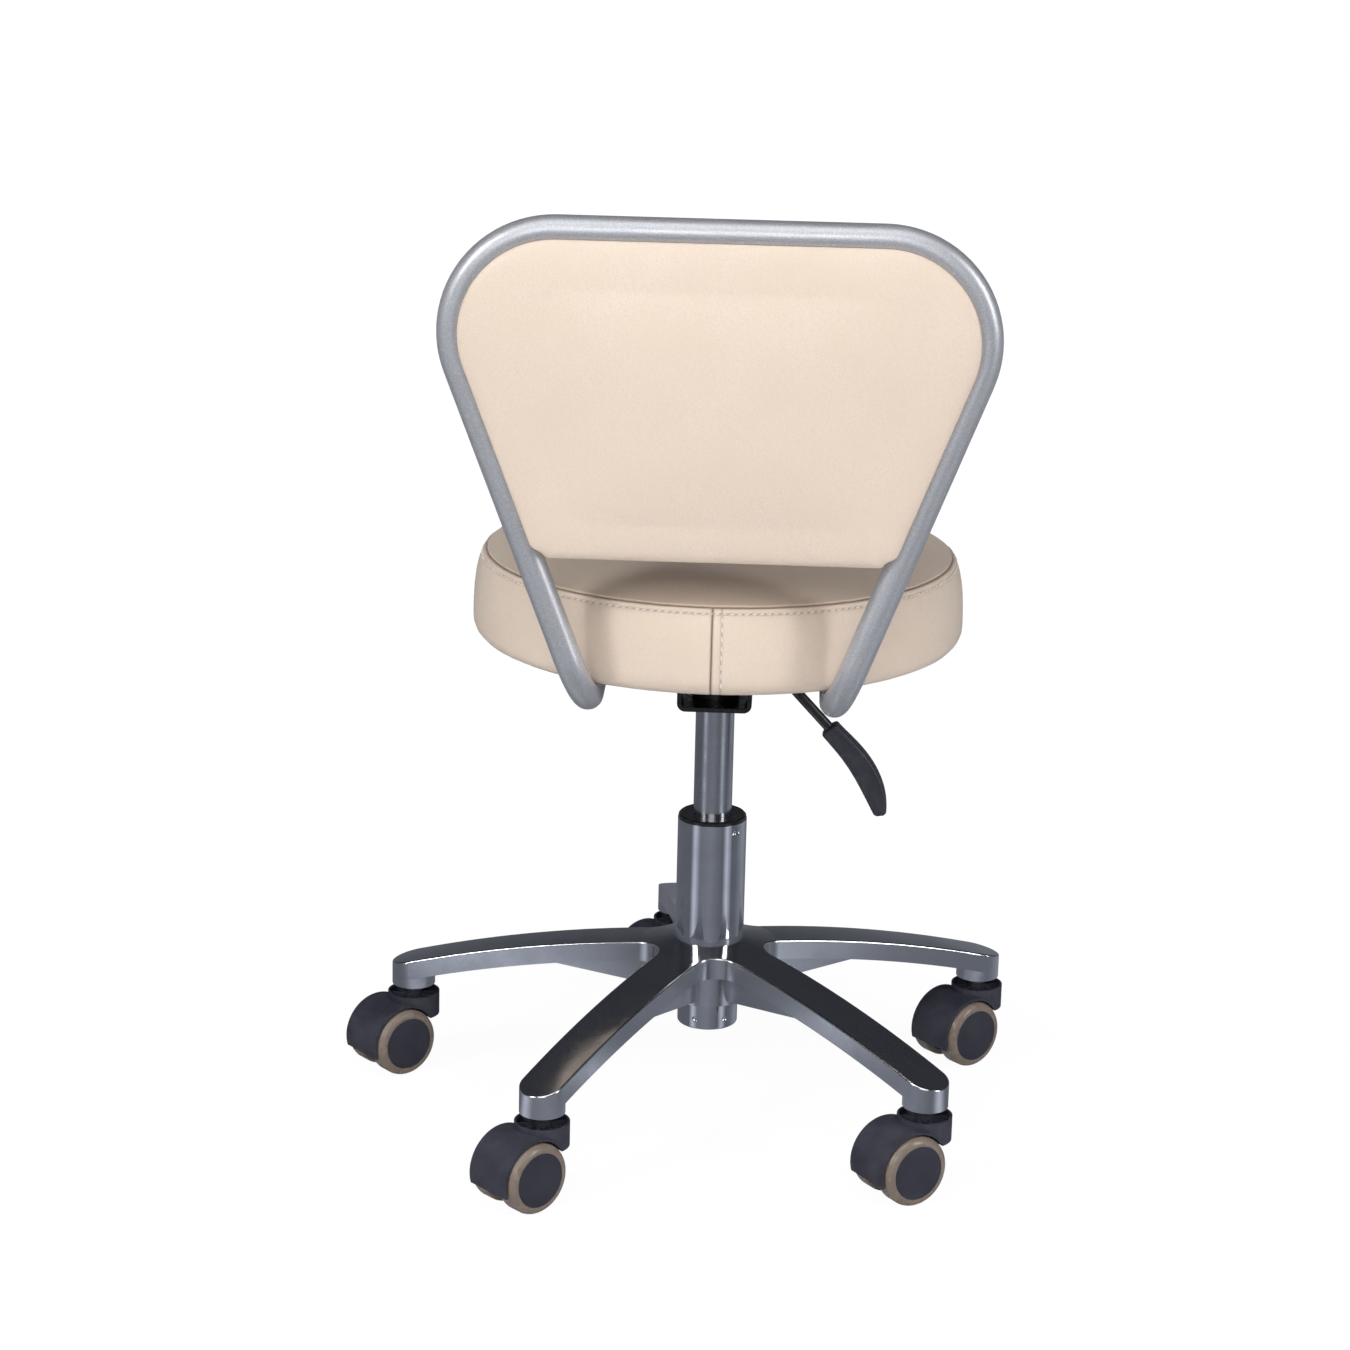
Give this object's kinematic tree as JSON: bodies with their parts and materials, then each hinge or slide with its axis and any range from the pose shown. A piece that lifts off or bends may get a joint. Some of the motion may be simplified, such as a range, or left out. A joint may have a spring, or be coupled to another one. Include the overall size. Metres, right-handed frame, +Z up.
{
  "type": "pedicure stool",
  "caption": "Low wheeled salon stool with a round padded seat, framed backrest, height lever and polished star base.",
  "frame": {"origin": "on the floor, under the axis of the lift column", "axes": "+Z up along the column; the sitter faces -Y, with the backrest on the +Y side and the lever on the -X side"},
  "size_m": [0.4927, 0.4881, 0.676],
  "materials": {
    "polished_aluminium": "polished casting",
    "zinc_steel": "zinc plated",
    "spring_steel": "ground steel",
    "chrome_column": "mirror chrome",
    "cylinder_steel": "satin ground steel",
    "bush_plastic": "smooth black moulding",
    "black_rubber": "matte",
    "black_paint": "gloss black paint",
    "plywood": "raw birch ply",
    "foam": "polyurethane foam",
    "cream_vinyl": "pebbled vinyl",
    "dust_cloth": "black non-woven cloth",
    "silver_paint": "satin silver metallic paint",
    "lever_steel": "satin black paint",
    "lever_plastic": "grained black moulding",
    "castor_plastic": "fine grained moulding",
    "tan_tyre": "smooth polyurethane"
  },
  "bodies": {
    "base": {"star_base": "polished_aluminium", "castor_stems": "zinc_steel", "castor_grip_rings": "spring_steel", "column_tube": "chrome_column", "column_guide_bush": "bush_plastic", "column_end_plate": "zinc_steel"},
    "rod": {"piston_rod": "spring_steel", "rod_clip": "spring_steel", "thrust_bearing": "spring_steel", "rubber_bumper": "black_rubber"},
    "seat": {"gas_cylinder": "cylinder_steel", "cylinder_gland": "zinc_steel", "mechanism_plate": "black_paint", "mechanism_housing": "black_paint", "mechanism_bolts": "zinc_steel", "board_t_nuts": "zinc_steel", "seat_board": "plywood", "seat_foam": "foam", "seat_cover": "cream_vinyl", "seat_dust_cover": "dust_cloth", "back_frame": "silver_paint", "tube_end_plugs": "bush_plastic", "back_frame_bolts": "zinc_steel", "back_board": "plywood", "back_foam": "foam", "back_cover": "cream_vinyl", "pad_screws": "zinc_steel"},
    "lever": {"lever_rod": "lever_steel", "lever_handle": "lever_plastic"},
    "valve": {"valve_pin": "spring_steel"},
    "front_castor": {"front_castor_housing": "castor_plastic", "front_castor_axle": "spring_steel"},
    "front_left_wheel": {"front_castor_left_rim": "castor_plastic", "front_castor_left_tyre": "tan_tyre"},
    "front_right_wheel": {"front_castor_right_rim": "castor_plastic", "front_castor_right_tyre": "tan_tyre"},
    "left_castor": {"left_castor_housing": "castor_plastic", "left_castor_axle": "spring_steel"},
    "left_left_wheel": {"left_castor_left_rim": "castor_plastic", "left_castor_left_tyre": "tan_tyre"},
    "left_right_wheel": {"left_castor_right_rim": "castor_plastic", "left_castor_right_tyre": "tan_tyre"},
    "rear_left_castor": {"rear_left_castor_housing": "castor_plastic", "rear_left_castor_axle": "spring_steel"},
    "rear_left_left_wheel": {"rear_left_castor_left_rim": "castor_plastic", "rear_left_castor_left_tyre": "tan_tyre"},
    "rear_left_right_wheel": {"rear_left_castor_right_rim": "castor_plastic", "rear_left_castor_right_tyre": "tan_tyre"},
    "rear_right_castor": {"rear_right_castor_housing": "castor_plastic", "rear_right_castor_axle": "spring_steel"},
    "rear_right_left_wheel": {"rear_right_castor_left_rim": "castor_plastic", "rear_right_castor_left_tyre": "tan_tyre"},
    "rear_right_right_wheel": {"rear_right_castor_right_rim": "castor_plastic", "rear_right_castor_right_tyre": "tan_tyre"},
    "right_castor": {"right_castor_housing": "castor_plastic", "right_castor_axle": "spring_steel"},
    "right_left_wheel": {"right_castor_left_rim": "castor_plastic", "right_castor_left_tyre": "tan_tyre"},
    "right_right_wheel": {"right_castor_right_rim": "castor_plastic", "right_castor_right_tyre": "tan_tyre"}
  },
  "joints": [
    {"name": "seat_swivel", "type": "hinge", "parent": "base", "child": "rod", "pos_m": [0, 0, 0.065], "axis": [0, 0, 1], "continuous": true},
    {"name": "seat_lift", "type": "slide", "parent": "rod", "child": "seat", "axis": [0, 0, 1], "range_m": [-0.08, 0]},
    {"name": "lever_lift", "type": "hinge", "parent": "seat", "child": "lever", "pos_m": [-0.016, 0, 0.3432], "axis": [0, 1, 0], "range_deg": [0, 8.5], "stiffness_Nm_per_rad": 1.5, "springref_deg": -8.59},
    {"name": "valve_press", "type": "slide", "parent": "seat", "child": "valve", "axis": [0, 0, -1], "range_m": [0, 0.003]},
    {"name": "front_castor_swivel", "type": "hinge", "parent": "base", "child": "front_castor", "pos_m": [0.03019, -0.22327, 0.05], "axis": [0, 0, 1], "continuous": true},
    {"name": "front_left_wheel_spin", "type": "hinge", "parent": "front_castor", "child": "front_left_wheel", "pos_m": [0.04566, -0.21028, 0.025], "axis": [-0.6428, 0.766, 0], "continuous": true},
    {"name": "front_right_wheel_spin", "type": "hinge", "parent": "front_castor", "child": "front_right_wheel", "pos_m": [0.04566, -0.21028, 0.025], "axis": [-0.6428, 0.766, 0], "continuous": true},
    {"name": "left_castor_swivel", "type": "hinge", "parent": "base", "child": "left_castor", "pos_m": [0.22167, -0.04028, 0.05], "axis": [0, 0, 1], "continuous": true},
    {"name": "left_left_wheel_spin", "type": "hinge", "parent": "left_castor", "child": "left_left_wheel", "pos_m": [0.23687, -0.02698, 0.025], "axis": [-0.6587, 0.7524, 0], "continuous": true},
    {"name": "left_right_wheel_spin", "type": "hinge", "parent": "left_castor", "child": "left_right_wheel", "pos_m": [0.23687, -0.02698, 0.025], "axis": [-0.6587, 0.7524, 0], "continuous": true},
    {"name": "rear_left_castor_swivel", "type": "hinge", "parent": "base", "child": "rear_left_castor", "pos_m": [0.10681, 0.19837, 0.05], "axis": [0, 0, 1], "continuous": true},
    {"name": "rear_left_left_wheel_spin", "type": "hinge", "parent": "rear_left_castor", "child": "rear_left_left_wheel", "pos_m": [0.12122, 0.21253, 0.025], "axis": [-0.7009, 0.7133, 0], "continuous": true},
    {"name": "rear_left_right_wheel_spin", "type": "hinge", "parent": "rear_left_castor", "child": "rear_left_right_wheel", "pos_m": [0.12122, 0.21253, 0.025], "axis": [-0.7009, 0.7133, 0], "continuous": true},
    {"name": "rear_right_castor_swivel", "type": "hinge", "parent": "base", "child": "rear_right_castor", "pos_m": [-0.15566, 0.16288, 0.05], "axis": [0, 0, 1], "continuous": true},
    {"name": "rear_right_left_wheel_spin", "type": "hinge", "parent": "rear_right_castor", "child": "rear_right_left_wheel", "pos_m": [-0.13899, 0.1743, 0.025], "axis": [-0.565, 0.8251, 0], "continuous": true},
    {"name": "rear_right_right_wheel_spin", "type": "hinge", "parent": "rear_right_castor", "child": "rear_right_right_wheel", "pos_m": [-0.13899, 0.1743, 0.025], "axis": [-0.565, 0.8251, 0], "continuous": true},
    {"name": "right_castor_swivel", "type": "hinge", "parent": "base", "child": "right_castor", "pos_m": [-0.20301, -0.0977, 0.05], "axis": [0, 0, 1], "continuous": true},
    {"name": "right_left_wheel_spin", "type": "hinge", "parent": "right_castor", "child": "right_left_wheel", "pos_m": [-0.1877, -0.08453, 0.025], "axis": [-0.6521, 0.7581, 0], "continuous": true},
    {"name": "right_right_wheel_spin", "type": "hinge", "parent": "right_castor", "child": "right_right_wheel", "pos_m": [-0.1877, -0.08453, 0.025], "axis": [-0.6521, 0.7581, 0], "continuous": true}
  ],
  "couplings": [
    {"joint": "valve_press", "follows": "lever_lift", "m_per_rad": 0.0195}
  ]
}
